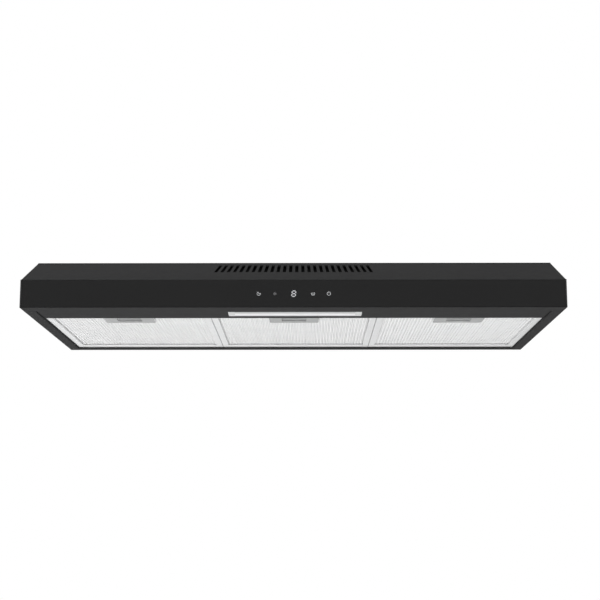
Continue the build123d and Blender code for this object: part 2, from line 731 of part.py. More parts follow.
def scroll_outline():
    """The inside of the scroll: a volute of four arcs, the discharge leg and the chamber under the duct."""
    r, e, a = VOLUTE_R, VOLUTE_OFFSET, VOLUTE_STEP
    arcs = CenterArc((e, -e), r, VOLUTE_TONGUE_ANGLE, -VOLUTE_TONGUE_ANGLE)
    arcs += CenterArc((-e, -e), r + a, 0, -90)
    arcs += CenterArc((-e, e), r + 2 * a, -90, -90)
    arcs += CenterArc((e, e), r + 3 * a, 180, -90)
    arcs += Polyline((e, VOLUTE_CREST), (TONGUE_X, VOLUTE_CREST), (TONGUE_X, TONGUE_Y))
    leg = Pos((e + DISCHARGE_LEG) / 2, LEG_MIDDLE) * Rectangle(DISCHARGE_LEG - e, VOLUTE_CREST - TONGUE_Y)
    chamber = Pos(DISCHARGE_LEG, LEG_MIDDLE) * Circle(COLLAR_R + CHAMBER_MARGIN)
    return make_face(arcs) + leg + chamber


def grown_outline(amount):
    """The scroll's outline moved outwards by an amount."""
    return offset(scroll_outline(), amount=amount, kind=Kind.INTERSECTION)


def blower_scroll():
    """The folded scroll with its roof, open at the bottom and into the duct collar."""
    outside = grown_outline(SHEET)
    scroll = upright(outside, Z_BASE_TOP, Z_SCROLL_TOP)
    scroll -= upright(scroll_outline(), Z_BASE_TOP, Z_SCROLL_ROOF)
    scroll -= Pos(DISCHARGE_LEG, LEG_MIDDLE, 0) * Cylinder(COLLAR_BORE, 8 * SHEET)
    return BLOWER_AXIS * scroll


def blower_base():
    """The floor of the scroll with the flared inlet."""
    base = upright(grown_outline(SHEET + BASE_RIM), Z_BASE, Z_BASE_TOP)
    base -= cylinder(INLET_R + INLET_FLARE, Z_BASE - SHEET, Z_BASE_TOP + SHEET)
    flare = [(INLET_R + INLET_FLARE, Z_BASE), (INLET_R, Z_BASE + INLET_FLARE)]
    base += turned(flare + [(r + SHEET, z + SHEET) for r, z in reversed(flare)])
    return BLOWER_AXIS * base


def motor_support():
    """The bracket across the inlet: two crossed arms and the plate that carries the motor."""
    arm = 2 * (INLET_R + INLET_FLARE + SUPPORT_FOOT)
    outline = Rectangle(arm, SUPPORT_ARM) + Rectangle(SUPPORT_ARM, arm)
    outline += Rot(0, 0, 45) * Rectangle(SUPPORT_PLATE, SUPPORT_PLATE)
    return BLOWER_AXIS * Rot(0, 0, 45) * upright(outline, Z_SUPPORT, Z_BASE)


def motor():
    """The motor can, standing on its support, with the bearing bore open at the top."""
    can = cylinder(MOTOR_R, Z_BASE, Z_MOTOR_TOP)
    can -= cylinder(SHAFT_R + SHAFT_CLEAR, Z_MOTOR_TOP - BEARING_DEPTH, Z_MOTOR_TOP + SHEET)
    return BLOWER_AXIS * can


def motor_shaft():
    """The shaft from the motor's bearing through the hub to the nut."""
    z_low = Z_MOTOR_TOP - BEARING_DEPTH + MOTOR_GAP
    return BLOWER_AXIS * cylinder(SHAFT_R, z_low, Z_IMPELLER_TOP + NUT_H + SHEET)


def impeller():
    """The squirrel cage: back plate and hub, forward curved blades and the rim that ties their ends."""
    z_plate = Z_IMPELLER_TOP - IMPELLER_PLATE
    rim = Circle(IMPELLER_R) - Circle(IMPELLER_R - IMPELLER_RIM)
    wheel = cylinder(IMPELLER_R, z_plate, Z_IMPELLER_TOP) + cylinder(HUB_R, Z_HUB, z_plate)
    wheel += upright(rim, Z_IMPELLER, Z_IMPELLER + IMPELLER_RIM)
    root = Vector(IMPELLER_R - BLADE_DEPTH, 0)
    lean = math.radians(BLADE_LEAN)
    tip_r = IMPELLER_R - IMPELLER_RIM / 4
    tip = Vector(tip_r * math.cos(lean), tip_r * math.sin(lean))
    belly = (root + tip) / 2 + Vector(BLADE_DEPTH / 10, -BLADE_DEPTH / 8)
    curve = ThreePointArc(root, belly, tip)
    front = [curve @ (i / BLADE_FACETS) for i in range(BLADE_FACETS + 1)]
    back = [point.rotate(Axis.Z, math.degrees(BLADE_T / root.X)) for point in reversed(front)]
    outline = make_face(Polyline(*front, *back, close=True))
    blade = upright(outline, Z_IMPELLER + IMPELLER_RIM, z_plate)
    wheel += [Rot(0, 0, 360 * i / BLADE_COUNT) * blade for i in range(BLADE_COUNT)]
    wheel -= cylinder(SHAFT_R, Z_HUB - SHEET, Z_IMPELLER_TOP + SHEET)
    return BLOWER_AXIS * wheel


def impeller_nut():
    """The nut that clamps the wheel on the shaft."""
    nut = upright(RegularPolygon(NUT_R, 6) - Circle(SHAFT_R), Z_IMPELLER_TOP, Z_IMPELLER_TOP + NUT_H)
    return BLOWER_AXIS * nut


# Power box, under the top panel


def power_box():
    """The tray under the top with its flange, and posts for the board."""
    inside = (POWER_BOX_LENGTH - 2 * POWER_BOX_WALL, POWER_BOX_WIDTH - 2 * POWER_BOX_WALL)
    outside = RectangleRounded(POWER_BOX_LENGTH, POWER_BOX_WIDTH, POWER_BOX_CORNER_R)
    flange = Rectangle(POWER_BOX_LENGTH + 2 * POWER_BOX_FLANGE, POWER_BOX_WIDTH + 2 * POWER_BOX_FLANGE)
    floor = Z_POWER_BOX + POWER_BOX_WALL
    box = upright(outside, Z_POWER_BOX, -SHEET) + upright(flange, -SHEET - POWER_BOX_WALL, -SHEET)
    box -= upright(Rectangle(*inside), floor, 0)
    spread = [size - 2 * BOARD_EDGE_GAP - POST for size in inside]
    for place in GridLocations(*spread, 2, 2):
        box += upright(place * Rectangle(POST, POST), floor, Z_POWER_BOARD)
    return Pos(POWER_BOX_X, POWER_BOX_Y, 0) * box


def power_board():
    """The board on its posts, with two relays."""
    length = POWER_BOX_LENGTH - 2 * (POWER_BOX_WALL + BOARD_EDGE_GAP / 2)
    width = POWER_BOX_WIDTH - 2 * (POWER_BOX_WALL + BOARD_EDGE_GAP / 2)
    board = upright(Rectangle(length, width), Z_POWER_BOARD, Z_POWER_BOARD + BOARD_T)
    z_top = Z_POWER_BOARD + BOARD_T
    for side in (-1, 1):
        relay = Pos(side * RELAY_SIZE, -width / 4) * Rectangle(RELAY_SIZE, RELAY_SIZE)
        board += upright(relay, z_top, z_top + RELAY_SIZE)
    return Pos(POWER_BOX_X, POWER_BOX_Y, 0) * board


def capacitor():
    """The motor's run capacitor, standing on the board."""
    z_low = Z_POWER_BOARD + BOARD_T
    case = upright(Rectangle(CAPACITOR_LENGTH, CAPACITOR_WIDTH), z_low, z_low + CAPACITOR_H)
    return Pos(POWER_BOX_X, POWER_BOX_Y + POWER_BOX_WIDTH / 4, 0) * case


def gland_outline(grow):
    """The square body of the cord gland, or its flange when grown."""
    side = 2 * (GLAND_BORE_R + GLAND_WALL + grow)
    return Rectangle(side, side)


def entry_plate():
    """The wiring plate under the cut-out in the top."""
    size = (ENTRY_CUTOUT_LENGTH + 2 * ENTRY_PLATE_LAP, ENTRY_CUTOUT_WIDTH + 2 * ENTRY_PLATE_LAP)
    plate = upright(Rectangle(*size) - gland_outline(0), Z_ENTRY_PLATE, -SHEET)
    return Pos(POWER_BOX_X, POWER_BOX_Y, 0) * plate


def cord_gland():
    """The bush that the supply lead passes through, with its flange under the plate."""
    bush = upright(gland_outline(GLAND_FLANGE), -GLAND_H, Z_ENTRY_PLATE)
    bush += upright(gland_outline(0), Z_ENTRY_PLATE, 0)
    bush -= cylinder(GLAND_BORE_R, -GLAND_H - SHEET, SHEET)
    return Pos(POWER_BOX_X, POWER_BOX_Y, 0) * bush


# Controls behind the glass


def board_holder():
    """The open tray on the back of the channel, with posts for the board."""
    half = HOLDER_LENGTH / 2
    y_back = Y_WALL_BACK + HOLDER_DEPTH
    heights = (Z_FASCIA_MID - HOLDER_HALF_HEIGHT, Z_FASCIA_MID + HOLDER_HALF_HEIGHT)
    holder = block((-half, half), (Y_WALL_BACK, y_back), heights)
    holder -= block(
        (HOLDER_WALL - half, half - HOLDER_WALL),
        (Y_WALL_BACK - SHEET, y_back - HOLDER_WALL),
        (heights[0] + HOLDER_WALL, heights[1] - HOLDER_WALL),
    )
    y_posts = (Y_BOARD + BOARD_T, y_back - HOLDER_WALL)
    for side in (-1, 1):
        x_post = side * (half - WINDOW_MARGIN)
        holder += Pos(x_post, sum(y_posts) / 2, Z_FASCIA_MID) * Box(POST, y_posts[1] - y_posts[0], POST)
    return holder


def control_board():
    """The touch board."""
    half = HOLDER_LENGTH / 2 - HOLDER_WALL - FIT
    height = HOLDER_HALF_HEIGHT - HOLDER_WALL - FIT
    heights = (Z_FASCIA_MID - height, Z_FASCIA_MID + height)
    return block((-half, half), (Y_BOARD, Y_BOARD + BOARD_T), heights)


def display_module():
    """The single digit behind the glass."""
    return block(
        (-DISPLAY_WIDTH / 2, DISPLAY_WIDTH / 2),
        (Y_GLASS_BACK + DISPLAY_GAP, Y_BOARD),
        (Z_FASCIA_MID - DISPLAY_HEIGHT / 2, Z_FASCIA_MID + DISPLAY_HEIGHT / 2),
    )


def touch_pads():
    """The sprung pads that join the board to the back of the glass."""
    length = Y_BOARD - Y_GLASS_BACK
    pad = Box(TOUCH_PAD, length, TOUCH_PAD)
    return [Pos(x, Y_GLASS_BACK + length / 2, Z_FASCIA_MID) * pad for x in TOUCH_PAD_X]


def all_nodes():
    """Every named piece of the hood."""
    nodes = {
        "top_panel": top_panel(),
        "vent_panel": vent_panel(),
        "rear_panel": rear_panel(),
        "side_panel_left": side_panel(-1),
        "side_panel_right": side_panel(1),
        "front_frame": front_frame(),
        "fascia_glass": fascia_glass(),
        "lamp_panel": lamp_panel(),
        "light_diffuser": light_diffuser(),
        "diffuser_end_caps": diffuser_end_caps(),
        "lamp_housing": lamp_housing(),
        "led_board": led_board(),
        "duct_collar": duct_collar(),
        "damper_rod": damper_rod(),
        "damper_flap_left": damper_flap(-1),
        "damper_flap_right": damper_flap(1),
        "blower_scroll": blower_scroll(),
        "blower_base": blower_base(),
        "motor_support": motor_support(),
        "motor": motor(),
        "motor_shaft": motor_shaft(),
        "impeller": impeller(),
        "impeller_nut": impeller_nut(),
        "power_box": power_box(),
        "power_board": power_board(),
        "capacitor": capacitor(),
        "entry_plate": entry_plate(),
        "cord_gland": cord_gland(),
        "board_holder": board_holder(),
        "control_board": control_board(),
        "display_module": display_module(),
        "touch_pads": touch_pads(),
    }
    filter_pieces = {
        "filter_frame": filter_frame(),
        "filter_mesh": filter_mesh(),
        "filter_core": filter_core(),
        "latch_housing": latch_housing(),
        "latch_slider": latch_slider(),
        "latch_spring": latch_spring(),
    }
    for name, x in filter_places():
        for piece, shape in filter_pieces.items():
            nodes[f"{piece}_{name}"] = Pos(x, 0, 0) * shape
    return nodes


os.makedirs("parts", exist_ok=True)
for node, shape in all_nodes().items():
    if isinstance(shape, list):
        shape = Compound(children=shape)
    export_step(shape, f"parts/{node}.step")
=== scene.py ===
import json
import math

import bmesh
import bpy
from mathutils import Matrix, Vector
from mathutils.bvhtree import BVHTree


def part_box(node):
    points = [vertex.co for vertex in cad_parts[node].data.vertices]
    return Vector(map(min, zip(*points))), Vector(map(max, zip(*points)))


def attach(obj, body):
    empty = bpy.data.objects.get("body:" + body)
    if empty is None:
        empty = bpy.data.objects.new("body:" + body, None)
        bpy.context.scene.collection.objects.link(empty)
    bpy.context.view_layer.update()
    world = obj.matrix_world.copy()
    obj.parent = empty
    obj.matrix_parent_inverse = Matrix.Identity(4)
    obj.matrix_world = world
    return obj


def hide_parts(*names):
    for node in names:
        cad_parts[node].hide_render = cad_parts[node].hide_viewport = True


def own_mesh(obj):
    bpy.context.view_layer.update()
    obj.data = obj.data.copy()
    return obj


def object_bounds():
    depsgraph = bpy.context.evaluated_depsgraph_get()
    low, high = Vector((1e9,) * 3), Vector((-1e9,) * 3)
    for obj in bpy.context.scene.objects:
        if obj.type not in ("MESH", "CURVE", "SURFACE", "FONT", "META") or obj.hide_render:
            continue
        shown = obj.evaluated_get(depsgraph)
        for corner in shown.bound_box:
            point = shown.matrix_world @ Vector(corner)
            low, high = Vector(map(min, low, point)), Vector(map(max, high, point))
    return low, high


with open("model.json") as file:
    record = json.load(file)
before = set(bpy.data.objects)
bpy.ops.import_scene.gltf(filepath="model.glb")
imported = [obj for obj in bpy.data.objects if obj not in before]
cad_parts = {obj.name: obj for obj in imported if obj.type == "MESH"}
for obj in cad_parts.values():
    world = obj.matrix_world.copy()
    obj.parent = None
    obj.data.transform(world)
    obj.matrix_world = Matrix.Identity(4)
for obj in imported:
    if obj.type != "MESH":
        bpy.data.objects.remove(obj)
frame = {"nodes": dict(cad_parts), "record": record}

# Under cabinet range hood: finishes, rounded edges, filter mesh, latch springs, partition,
# glass with its touch symbols, screws, floor, light and camera.
# All lengths are in metres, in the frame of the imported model.

cad_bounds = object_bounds()
nodes = frame["nodes"]
slot_of = {part["node"]: part["material_slot"] for part in frame["record"]["subparts"]}
body_of = {node: body for body, names in frame["record"]["behaviour"]["bodies"].items() for node in names}
FILTERS = ["left", "centre", "right"]
MM = 0.001

# Rounding of the sharp edges of pressed and moulded pieces
SOFT_EDGES = {
    "front_frame": 0.3 * MM,
    "lamp_panel": 0.3 * MM,
    "entry_plate": 0.3 * MM,
    "duct_collar": 0.25 * MM,
    "blower_scroll": 0.3 * MM,
    "blower_base": 0.3 * MM,
    "motor_support": 0.8 * MM,
    "motor": 3.0 * MM,
    "power_box": 0.5 * MM,
    "lamp_housing": 0.3 * MM,
    "board_holder": 0.5 * MM,
    "cord_gland": 0.8 * MM,
    "capacitor": 1.0 * MM,
    "diffuser_end_caps": 0.3 * MM,
    "light_diffuser": 0.2 * MM,
}
for side in FILTERS:
    SOFT_EDGES[f"filter_frame_{side}"] = 0.25 * MM
    SOFT_EDGES[f"latch_housing_{side}"] = 0.35 * MM
    SOFT_EDGES[f"latch_slider_{side}"] = 0.5 * MM
SOFT_SEGMENTS = 2
WELD = 0.001 * MM
FLAT_ANGLE = math.radians(0.5)
SHARP_ANGLE = math.radians(35)
SMOOTH_ANGLE = math.radians(40)

# Expanded mesh of the filters; a cell is its width, its length and the width of a strand
FACE_CELL = (5.6 * MM, 8.0 * MM, 2.15 * MM)
CORE_CELL = (8.4 * MM, 15.0 * MM, 2.5 * MM)
MESH_THICKNESS = 0.4 * MM
MESH_TILT = math.radians(28)
MESH_LIFT = 0.9 * MM
CORE_LAYERS = 3
CORE_SHIFT = CORE_CELL[0] / 4
SIDE_LIP = 11.0 * MM
REAR_LIP = 30.0 * MM
UNDER_LIP = 4.0 * MM
WELL_HALF = 23.0 * MM
WELL_TO_PLATE_END = 14.0 * MM

# Leaf springs of the latches
LEAF_THICKNESS = 0.5 * MM
LEAF_STEPS = 32

# Glass strip of the fascia
BROW_SHEET = 1.15 * MM
GLASS_ROUNDING = 0.35 * MM
GLASS_SEGMENTS = 4

# Partition between the lamp bay and the filters, a folded sheet given in Y and Z
PARTITION_SHEET = 0.8 * MM
PARTITION_HALF = 430.0 * MM
PARTITION_SETBACK = 2.2 * MM
PARTITION_TAB = 9.0 * MM
PARTITION_FLANGE = (-11.0 * MM, -4.53 * MM)
PARTITION_TOP = (-5.5 * MM, -5.2 * MM)

# Touch symbols on the glass; rings run between two angles in degrees
SYMBOL_THICKNESS = 0.06 * MM
SYMBOL_LINE = 0.7 * MM
SYMBOL_WELD = 0.0001 * MM
ARC_STEPS = 40
SYMBOL_INSET = 5.4 * MM
LAMP_FROM_TIMER = 26.4 * MM
SPEED_FROM_POWER = 26.0 * MM
RING_RADIUS = 2.8 * MM
TIMER_RING = (100, 380)
HAND_UP = 2.0 * MM
HAND_LEVEL = (-0.3 * MM, 1.7 * MM)
LAMP_RADIUS = 1.1 * MM
LAMP_RING = (0, 360)
RAY_COUNT = 8
RAY = (1.8 * MM, 2.6 * MM)
SPEED_RING = (150, 400)
BLADE_RADIUS = 1.4 * MM
BLADE_STARTS = (0, 120, 240)
BLADE_SWEEP = 80
POWER_RING = (120, 420)
POWER_BAR = (0.6 * MM, 3.9 * MM)
DIGIT_X = 1.0 * MM
DIGIT_WIDTH = 6.0 * MM
DIGIT_HEIGHT = 9.2 * MM
DIGIT_LINE = 1.6 * MM
DIGIT_GAP = 0.55 * DIGIT_LINE
DIGIT_SLANT = 0.10

# Pan head screws; the profile gives shares of the radius and of the height,
# and each screw of a row is turned further than the last, in radians
SCREW_RADIUS = 3.5 * MM
SCREW_HEIGHT = 2.1 * MM
SCREW_PROFILE = [(0.97, -0.05), (1.0, 0.10), (0.98, 0.42), (0.88, 0.74), (0.72, 0.93), (0.62, 1.0)]
SCREW_STEPS = 24
SCREW_TURN = 0.7
CROSS_REACH = 1.75 * MM
CROSS_HALF = 0.45 * MM
CROSS_DEPTH = 1.1 * MM
CROSS_TAPER = 0.6

# Places of the screws: insets in X and Y from the edges, and shares of the width of the top
COLLAR_INSET = (8.0 * MM, 8.0 * MM)
ENTRY_INSET = (4.0 * MM, 4.0 * MM)
POWER_BOX_INSET = (34.0 * MM, 4.5 * MM)
TOP_SHARES = (0.06, 0.28, 0.72, 0.94)
TOP_FRONT_INSET = 13.5 * MM
TOP_REAR_INSET = 7.0 * MM

# Finishes; a tone changes between two shares of the mottle, and relief is fine or coarse
TONE_START = 0.3
TONE_END = 0.7
NOISE_ROUGHNESS = 0.6
BLUE_CAST = 1.015
FINE_BUMP = 0.1 * MM
COARSE_BUMP = 0.2 * MM

# Painted light across the lens: tones from its front edge to its rear edge, palest in the middle as a
# painted highlight and glow, darker towards both edges as painted shade
LENS_PAINTED_LIGHT = [(0.0, 0.19), (0.36, 0.755), (0.5, 0.81), (0.72, 0.52), (1.0, 0.17)]

# Floor, light and camera; a lamp is its place, target, size and power
FLOOR_DROP = 1.1
FLOOR_HALF = 6.0
FLOOR_FADE = (2.8, 5.6)
WORLD_STRENGTH = 0.48
LAMPS = {
    "key": ((-3.7, 2.6, 1.5), (-0.5, 0.4, -1.2), 3.2, 208),
    "fill": ((-0.8, -2.4, 2.9), (0, 0, -0.4), 2.2, 22),
    "front_floor": ((0, -2.9, -0.3), (0, -2.9, -1.0), 2.8, 81),
}
CAMERA_X = 0.0231
CAMERA_IN_FRONT = 2.1642
CAMERA_BELOW = 0.3788
CAMERA_YAW = math.radians(0.315)
CAMERA_RISE = math.radians(10.256)
CAMERA_LENS = 80.38
CAMERA_SENSOR = 36


# Materials


class Look:
    """A material with its main shader and short calls for the nodes that feed it."""

    def __init__(self, name, **sockets):
        self.material = bpy.data.materials.new(name)
        self.material.use_nodes = True
        self.tree = self.material.node_tree
        self.shader = self.tree.nodes["Principled BSDF"]
        self.place = self.add("ShaderNodeTexCoord").outputs["Object"]
        for socket, value in sockets.items():
            self.shader.inputs[socket.replace("_", " ")].default_value = value

    def add(self, kind, **inputs):
        """A new node with some of its inputs set."""
        node = self.tree.nodes.new(kind)
        for socket, value in inputs.items():
            node.inputs[socket.replace("_", " ")].default_value = value
        return node

    def link(self, out, into):
        self.tree.links.new(out, into)

    def feed(self, socket, out):
        """Joins an output to a socket of the main shader."""
        self.link(out, self.shader.inputs[socket])

    def stretched(self, x, y, z):
        """The place scaled along each axis, for grain that runs one way."""
        mapping = self.add("ShaderNodeMapping", Scale=(x, y, z))
        self.link(self.place, mapping.inputs["Vector"])
        return mapping.outputs["Vector"]

    def noise(self, scale, detail=4.0, place=None):
        """An uneven factor, for mottle and grain."""
        node = self.add("ShaderNodeTexNoise", Scale=scale, Detail=detail, Roughness=NOISE_ROUGHNESS)
        self.link(place or self.place, node.inputs["Vector"])
        return node.outputs["Fac"]

    def ramp(self, factor, *stops):
        """A colour ramp between stops given as place and colour."""
        node = self.add("ShaderNodeValToRGB")
        elements = node.color_ramp.elements
        while len(elements) < len(stops):
            elements.new(0.5)
        for element, (place, colour) in zip(elements, stops):
            element.position = place
            element.color = (*colour, 1)
        self.link(factor, node.inputs["Fac"])
        return node.outputs["Color"]

    def tint(self, factor, low, high, end=TONE_END):
        """The base colour, from one tone to another over the middle of a factor."""
        self.feed("Base Color", self.ramp(factor, (TONE_START, low), (end, high)))

    def roughen(self, factor, low, high):
        """The roughness, a factor spread between two values."""
        node = self.add("ShaderNodeMapRange", To_Min=low, To_Max=high)
        self.link(factor, node.inputs["Value"])
        self.feed("Roughness", node.outputs["Result"])

    def bump(self, height, strength, distance=FINE_BUMP):
        """Relief on top of any relief that is there already."""
        node = self.add("ShaderNodeBump", Strength=strength, Distance=distance)
        self.link(height, node.inputs["Height"])
        earlier = self.shader.inputs["Normal"].links
        if earlier:
            self.link(earlier[0].from_socket, node.inputs["Normal"])
        self.feed("Normal", node.outputs["Normal"])


def grey(value):
    """A grey with a faint cool cast."""
    return (value, value, value * BLUE_CAST)


def black_coat():
    """Matt black powder coat: fine orange peel and a faint mottle."""
    look = Look("black_coat", Specular_IOR_Level=0.002)
    look.tint(look.noise(70, 6), grey(0.0368), grey(0.0416))
    look.roughen(look.noise(60), 0.44, 0.54)
    look.bump(look.noise(1400, 2), 0.10)
    look.bump(look.noise(320, 2), 0.04, COARSE_BUMP)
    return look.material


def dark_glass():
    """Black backed glass with the faintest wipe marks."""
    look = Look("dark_glass", Specular_IOR_Level=0.2, IOR=1.5)
    look.tint(look.noise(5, 3), grey(0.0060), grey(0.0072))
    look.roughen(look.noise(14, 6, look.stretched(1, 1, 5)), 0.10, 0.17)
    return look.material


def frosted():
    """Opal diffuser with a fine grain and a faint glow of its lamp; its base colour carries painted light,
    palest along its middle as a painted highlight and glow, darker towards its front and rear edges as
    painted shade.
    """
    low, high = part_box("light_diffuser")
    look = Look("frosted", Roughness=0.55, Emission_Color=(1, 1, 1, 1), Emission_Strength=0.04)
    place = look.add("ShaderNodeSeparateXYZ")
    look.link(look.place, place.inputs["Vector"])
    across = look.add("ShaderNodeMapRange", From_Min=low.y, From_Max=high.y)
    look.link(place.outputs["Y"], across.inputs["Value"])
    # Painted highlight and glow along the middle of the lens, painted shade towards its edges
    painted_light = look.ramp(across.outputs["Result"], *[(share, grey(tone)) for share, tone in LENS_PAINTED_LIGHT])
    grain = look.add("ShaderNodeMix")
    grain.data_type = "RGBA"
    grain.blend_type = "MULTIPLY"
    grain.inputs["Factor"].default_value = 1.0
    look.link(painted_light, grain.inputs["A"])
    speckle = look.ramp(look.noise(40, 3), (TONE_START, (0.95, 0.95, 0.95)), (TONE_END, (1, 1, 1)))
    look.link(speckle, grain.inputs["B"])
    look.feed("Base Color", grain.outputs["Result"])
    look.bump(look.noise(1800, 2), 0.12)
    return look.material


def clear_grey():
    """The plain ends of the lens."""
    look = Look("clear_grey", Roughness=0.35)
    look.tint(look.noise(60, 3), (0.53, 0.535, 0.535), (0.585, 0.59, 0.59))
    look.bump(look.noise(1500, 2), 0.08)
    return look.material


def aluminium():
    """Rolled aluminium with grain along the width of the hood."""
    look = Look("aluminium", Metallic=1.0)
    grain = look.noise(260, 5, look.stretched(0.06, 1, 1))
    look.tint(grain, (0.75, 0.76, 0.765), (0.84, 0.84, 0.84))
    look.roughen(look.noise(45, 5), 0.46, 0.60)
    look.bump(grain, 0.05)
    return look.material


def bright_mesh():
    """Etched and brightened expanded aluminium, paler than the rolled frame."""
    look = Look("bright_mesh", Metallic=0.3)
    look.tint(look.noise(20, 5), (0.93, 0.935, 0.94), (0.985, 0.985, 0.985), end=0.6)
    look.roughen(look.noise(90, 3), 0.34, 0.48)
    look.bump(look.noise(900, 2), 0.08)
    return look.material


def mill_aluminium():
    """Aluminium sheet as it left the mill, duller than the frames of the filters."""
    look = Look("mill_aluminium", Metallic=1.0)
    grain = look.noise(300, 5, look.stretched(1, 0.05, 1))
    look.tint(grain, (0.44, 0.445, 0.45), (0.53, 0.53, 0.53))
    look.roughen(look.noise(60, 4), 0.40, 0.55)
    look.bump(grain, 0.05)
    return look.material


def galvanised():
    """Zinc coated sheet with its spangle."""
    look = Look("galvanised", Metallic=1.0)
    spangle = look.add("ShaderNodeTexVoronoi", Scale=85.0, Randomness=1.0)
    look.link(look.place, spangle.inputs["Vector"])
    flake = look.add("ShaderNodeSeparateColor")
    look.link(spangle.outputs["Color"], flake.inputs["Color"])
    tones = [(0.0, (0.29, 0.305, 0.315)), (0.5, (0.37, 0.385, 0.395)), (1.0, (0.47, 0.48, 0.49))]
    look.feed("Base Color", look.ramp(flake.outputs["Red"], *tones))
    look.roughen(flake.outputs["Green"], 0.30, 0.55)
    look.bump(look.noise(420, 3), 0.05)
    return look.material


def painted_shade_zinc():
    """Zinc sheet darkened to near black as painted shade, so that what stands behind the slots reads as the
    shade inside the hood.
    """
    look = Look("painted_shade_zinc", Metallic=0.5, Specular_IOR_Level=0.1)
    # Painted shade: near black tones in place of the zinc's own grey
    look.tint(look.noise(90, 5), (0.022, 0.022, 0.024), (0.036, 0.036, 0.039))
    look.roughen(look.noise(50, 4), 0.55, 0.70)
    look.bump(look.noise(420, 3), 0.05)
    return look.material


def steel():
    """Bright turned steel."""
    look = Look("steel", Metallic=1.0)
    turning = look.noise(900, 3, look.stretched(0.1, 0.1, 1))
    look.tint(turning, (0.50, 0.50, 0.51), (0.62, 0.62, 0.62))
    look.roughen(turning, 0.22, 0.36)
    look.bump(turning, 0.06)
    return look.material


def moulded(name, low, high, roughness):
    """Moulded plastic with a fine spark eroded grain."""
    look = Look(name, Specular_IOR_Level=0.4)
    look.tint(look.noise(35, 5), low, high)
    look.roughen(look.noise(300, 3), roughness - 0.05, roughness + 0.08)
    look.bump(look.noise(2200, 2), 0.14)
    return look.material


def motor_paint():
    """Grey stoved enamel with a slight mottle."""
    look = Look("motor_paint")
    look.tint(look.noise(24, 6), (0.17, 0.18, 0.19), (0.25, 0.26, 0.27))
    look.roughen(look.noise(120), 0.32, 0.5)
    look.bump(look.noise(700, 3), 0.08, COARSE_BUMP)
    return look.material


def board_green():
    """Solder resist over tracks, which show as lighter lines."""
    look = Look("board_green", Roughness=0.38)
    tracks = look.add("ShaderNodeTexBrick", Scale=110.0, Mortar_Size=0.06, Row_Height=0.35, Brick_Width=1.6)
    tracks.inputs["Color1"].default_value = (0.010, 0.085, 0.035, 1)
    tracks.inputs["Color2"].default_value = (0.014, 0.105, 0.045, 1)
    tracks.inputs["Mortar"].default_value = (0.035, 0.19, 0.085, 1)
    look.link(look.place, tracks.inputs["Vector"])
    look.feed("Base Color", tracks.outputs["Color"])
    look.bump(tracks.outputs["Fac"], 0.15)
    return look.material


def symbol_white():
    """The pale print of the touch symbols, lit through the glass."""
    look = Look("symbol_white", Roughness=0.4, Emission_Color=(0.93, 0.96, 1, 1), Emission_Strength=0.08)
    look.tint(look.noise(500, 2), (0.50, 0.51, 0.52), (0.60, 0.61, 0.62))
    return look.material


def symbol_dim():
    """The print of the symbol that isn't lit."""
    look = Look("symbol_dim", Roughness=0.45)
    look.tint(look.noise(500, 2), (0.19, 0.19, 0.195), (0.24, 0.24, 0.245))
    return look.material


def pale_floor():
    """A matt pale floor that fades out far from the object and is clear from below."""
    look = Look("floor_pale", Roughness=0.9, Specular_IOR_Level=0.1)
    look.tint(look.noise(0.6, 2), (0.86, 0.86, 0.86), (0.88, 0.88, 0.88))
    far = look.add("ShaderNodeVectorMath")
    far.operation = "LENGTH"
    look.link(look.place, far.inputs[0])
    fade = look.add("ShaderNodeMapRange", From_Min=FLOOR_FADE[0], From_Max=FLOOR_FADE[1])
    fade.interpolation_type = "SMOOTHSTEP"
    look.link(far.outputs["Value"], fade.inputs["Value"])
    gone = look.add("ShaderNodeMath")
    gone.operation = "MAXIMUM"
    look.link(look.add("ShaderNodeNewGeometry").outputs["Backfacing"], gone.inputs[0])
    look.link(fade.outputs["Result"], gone.inputs[1])
    mix = look.add("ShaderNodeMixShader")
    clear = look.add("ShaderNodeBsdfTransparent")
    look.link(gone.outputs["Value"], mix.inputs[0])
    look.link(look.shader.outputs["BSDF"], mix.inputs[1])
    look.link(clear.outputs["BSDF"], mix.inputs[2])
    look.link(mix.outputs["Shader"], look.tree.nodes["Material Output"].inputs["Surface"])
    return look.material


LOOKS = {
    "black_coat": black_coat(),
    "dark_glass": dark_glass(),
    "frosted": frosted(),
    "clear_grey": clear_grey(),
    "aluminium": aluminium(),
    "galvanised": galvanised(),
    "steel": steel(),
    "grey_plastic": moulded("grey_plastic", (0.32, 0.325, 0.325), (0.365, 0.37, 0.37), 0.45),
    "dark_plastic": moulded("dark_plastic", (0.018, 0.018, 0.019), (0.028, 0.028, 0.029), 0.5),
    "white_plastic": moulded("white_plastic", (0.66, 0.66, 0.63), (0.74, 0.74, 0.71), 0.4),
    "motor_paint": motor_paint(),
    "board_green": board_green(),
    "rubber": moulded("rubber", (0.012, 0.012, 0.012), (0.022, 0.022, 0.022), 0.75),
}
MESH = bright_mesh()
MILL = mill_aluminium()
SYMBOL = symbol_white()
SYMBOL_DIM = symbol_dim()
OWN_LOOKS = {
    # The lamp housing behind the slots takes painted shade
    "lamp_housing": painted_shade_zinc(),
    "damper_flap_left": MILL,
    "damper_flap_right": MILL,
}


# Pieces


def look_of(node):
    """A solid's own look, or else the look of its slot."""
    return OWN_LOOKS.get(node, LOOKS[slot_of[node]])


def make_piece(name, mesh, body, slot, material=None):
    """A new object that rides on a body and takes a slot's finish, or a material of its own."""
    piece = bpy.data.objects.new(name, mesh)
    bpy.context.scene.collection.objects.link(piece)
    mesh.materials.clear()
    mesh.materials.append(material or LOOKS[slot])
    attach(piece, body)
    return piece


